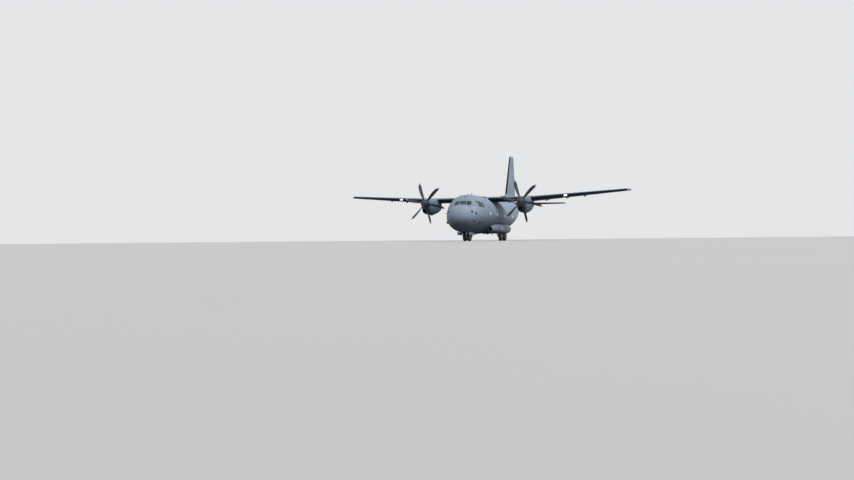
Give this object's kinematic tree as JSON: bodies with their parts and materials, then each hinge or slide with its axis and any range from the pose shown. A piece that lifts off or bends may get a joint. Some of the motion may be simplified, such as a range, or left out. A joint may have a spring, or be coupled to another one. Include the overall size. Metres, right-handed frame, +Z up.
{
  "type": "military transport plane",
  "caption": "High-wing twin-propeller military transport with an upswept rear cargo ramp, standing on its landing gear; doors, control surfaces, propellers and wheels move.",
  "frame": {"origin": "on the ground under the middle of the aircraft's bounding box", "axes": "+Z up, +X to the aircraft's port wing tip, -Y to the nose"},
  "size_m": [28.7, 22.7, 9.64],
  "materials": {
    "skin": "matt blue-grey paint",
    "radome": "matt grey",
    "cabin": "dull grey",
    "glass": "clear",
    "engine": "dull metal",
    "exhaust": "heat-stained steel",
    "blades": "dark matt paint",
    "gear": "white gloss paint",
    "wheels": "satin",
    "tyres": "black rubber"
  },
  "bodies": {
    "body": {"radome": "radome", "fuselage_forward": "skin", "fuselage_centre": "skin", "fuselage_rear": "skin", "cargo_floor": "cabin", "cockpit_interior": "cabin", "cockpit_glazing": "glass", "wing_centre": "skin", "wing_fairing": "skin", "fin": "skin", "nose_gear_leg": "gear", "wing_outer_port": "skin", "wing_outer_starboard": "skin", "tailplane_port": "skin", "tailplane_starboard": "skin", "sponson_port": "skin", "sponson_starboard": "skin", "nacelle_port": "skin", "nacelle_starboard": "skin", "engine_port": "engine", "engine_starboard": "engine", "exhaust_port": "exhaust", "exhaust_starboard": "exhaust", "main_gear_legs_port": "gear", "main_gear_legs_starboard": "gear", "nose_gear_door_port": "skin", "nose_gear_door_starboard": "skin"},
    "crew_door": {"crew_door": "skin"},
    "cargo_ramp": {"cargo_ramp": "skin"},
    "cargo_door": {"cargo_door": "skin"},
    "rudder": {"rudder": "skin"},
    "elevators": {"elevator_port": "skin", "elevator_starboard": "skin"},
    "nose_fork": {"nose_gear_fork": "gear"},
    "nose_wheels": {"nose_wheel_port": "wheels", "nose_wheel_starboard": "wheels", "nose_tyre_port": "tyres", "nose_tyre_starboard": "tyres"},
    "propeller_port": {"propeller_port": "blades", "spinner_port": "blades"},
    "aileron_port": {"aileron_port": "skin"},
    "flap_inboard_port": {"flap_inboard_port": "skin"},
    "flap_outboard_port": {"flap_outboard_port": "skin"},
    "main_wheel_front_port": {"main_wheel_front_port": "wheels", "main_tyre_front_port": "tyres"},
    "main_wheel_rear_port": {"main_wheel_rear_port": "wheels", "main_tyre_rear_port": "tyres"},
    "propeller_starboard": {"propeller_starboard": "blades", "spinner_starboard": "blades"},
    "aileron_starboard": {"aileron_starboard": "skin"},
    "flap_inboard_starboard": {"flap_inboard_starboard": "skin"},
    "flap_outboard_starboard": {"flap_outboard_starboard": "skin"},
    "main_wheel_front_starboard": {"main_wheel_front_starboard": "wheels", "main_tyre_front_starboard": "tyres"},
    "main_wheel_rear_starboard": {"main_wheel_rear_starboard": "wheels", "main_tyre_rear_starboard": "tyres"}
  },
  "joints": [
    {"name": "propeller_spin_port", "type": "hinge", "parent": "body", "child": "propeller_port", "pos_m": [4.75, -6.65, 3.69], "axis": [0, 1, 0], "continuous": true},
    {"name": "propeller_spin_starboard", "type": "hinge", "parent": "body", "child": "propeller_starboard", "pos_m": [-4.75, -6.65, 3.69], "axis": [0, 1, 0], "continuous": true},
    {"name": "nose_steering", "type": "hinge", "parent": "body", "child": "nose_fork", "pos_m": [0, -8.4, 0.8], "axis": [0, 0, 1], "range_deg": [-50, 50]},
    {"name": "nose_wheel_spin", "type": "hinge", "parent": "nose_fork", "child": "nose_wheels", "pos_m": [0, -8.31, 0.3609], "axis": [1, 0, 0], "continuous": true},
    {"name": "main_wheel_spin_front_port", "type": "hinge", "parent": "body", "child": "main_wheel_front_port", "pos_m": [1.835, -2.9, 0.4855], "axis": [1, 0, 0], "continuous": true},
    {"name": "main_wheel_spin_rear_port", "type": "hinge", "parent": "body", "child": "main_wheel_rear_port", "pos_m": [1.835, -1.4, 0.4855], "axis": [1, 0, 0], "continuous": true},
    {"name": "main_wheel_spin_front_starboard", "type": "hinge", "parent": "body", "child": "main_wheel_front_starboard", "pos_m": [-1.835, -2.9, 0.4855], "axis": [1, 0, 0], "continuous": true},
    {"name": "main_wheel_spin_rear_starboard", "type": "hinge", "parent": "body", "child": "main_wheel_rear_starboard", "pos_m": [-1.835, -1.4, 0.4855], "axis": [1, 0, 0], "continuous": true},
    {"name": "rudder_hinge", "type": "hinge", "parent": "body", "child": "rudder", "pos_m": [0, 9.5, 4.33], "axis": [0, 0.04, 0.9992], "range_deg": [-25, 25]},
    {"name": "elevator_hinge", "type": "hinge", "parent": "body", "child": "elevators", "pos_m": [0, 9.6, 4.16], "axis": [1, 0, 0], "range_deg": [-15, 25]},
    {"name": "aileron_hinge_port", "type": "hinge", "parent": "body", "child": "aileron_port", "pos_m": [10.5, -1.6966, 4.4737], "axis": [0.9967, -0.0405, 0.0701], "range_deg": [-20, 20]},
    {"name": "aileron_hinge_starboard", "type": "hinge", "parent": "body", "child": "aileron_starboard", "pos_m": [-10.5, -1.6966, 4.4737], "axis": [0.9967, 0.0405, -0.0701], "range_deg": [-20, 20]},
    {"name": "flap_hinge_inboard_port", "type": "hinge", "parent": "body", "child": "flap_inboard_port", "pos_m": [1.9, -1.654, 4.114], "axis": [-1, 0, 0], "range_deg": [0, 35]},
    {"name": "flap_hinge_inboard_starboard", "type": "hinge", "parent": "body", "child": "flap_inboard_starboard", "pos_m": [-1.9, -1.654, 4.114], "axis": [-1, 0, 0], "range_deg": [0, 35]},
    {"name": "flap_hinge_outboard_port", "type": "hinge", "parent": "body", "child": "flap_outboard_port", "pos_m": [5.33, -1.6559, 4.1182], "axis": [-0.9971, 0.0311, -0.0697], "range_deg": [0, 35]},
    {"name": "flap_hinge_outboard_starboard", "type": "hinge", "parent": "body", "child": "flap_outboard_starboard", "pos_m": [-5.33, -1.6559, 4.1182], "axis": [-0.9971, -0.0311, 0.0697], "range_deg": [0, 35]},
    {"name": "crew_door_hinge", "type": "hinge", "parent": "body", "child": "crew_door", "pos_m": [1.385, -7.6, 1.424], "axis": [0, 1, 0], "range_deg": [0, 110]},
    {"name": "cargo_ramp_hinge", "type": "hinge", "parent": "body", "child": "cargo_ramp", "pos_m": [0, 1.13, 0.802], "axis": [-1, 0, 0], "range_deg": [0, 30]},
    {"name": "cargo_door_hinge", "type": "hinge", "parent": "body", "child": "cargo_door", "pos_m": [0, 6.96, 2.69], "axis": [-1, 0, 0], "range_deg": [0, 30]}
  ],
  "couplings": [
    {"joint": "aileron_hinge_starboard", "follows": "aileron_hinge_port", "ratio": -1},
    {"joint": "flap_hinge_inboard_starboard", "follows": "flap_hinge_inboard_port", "ratio": 1},
    {"joint": "flap_hinge_outboard_port", "follows": "flap_hinge_inboard_port", "ratio": 1},
    {"joint": "flap_hinge_outboard_starboard", "follows": "flap_hinge_inboard_port", "ratio": 1}
  ]
}
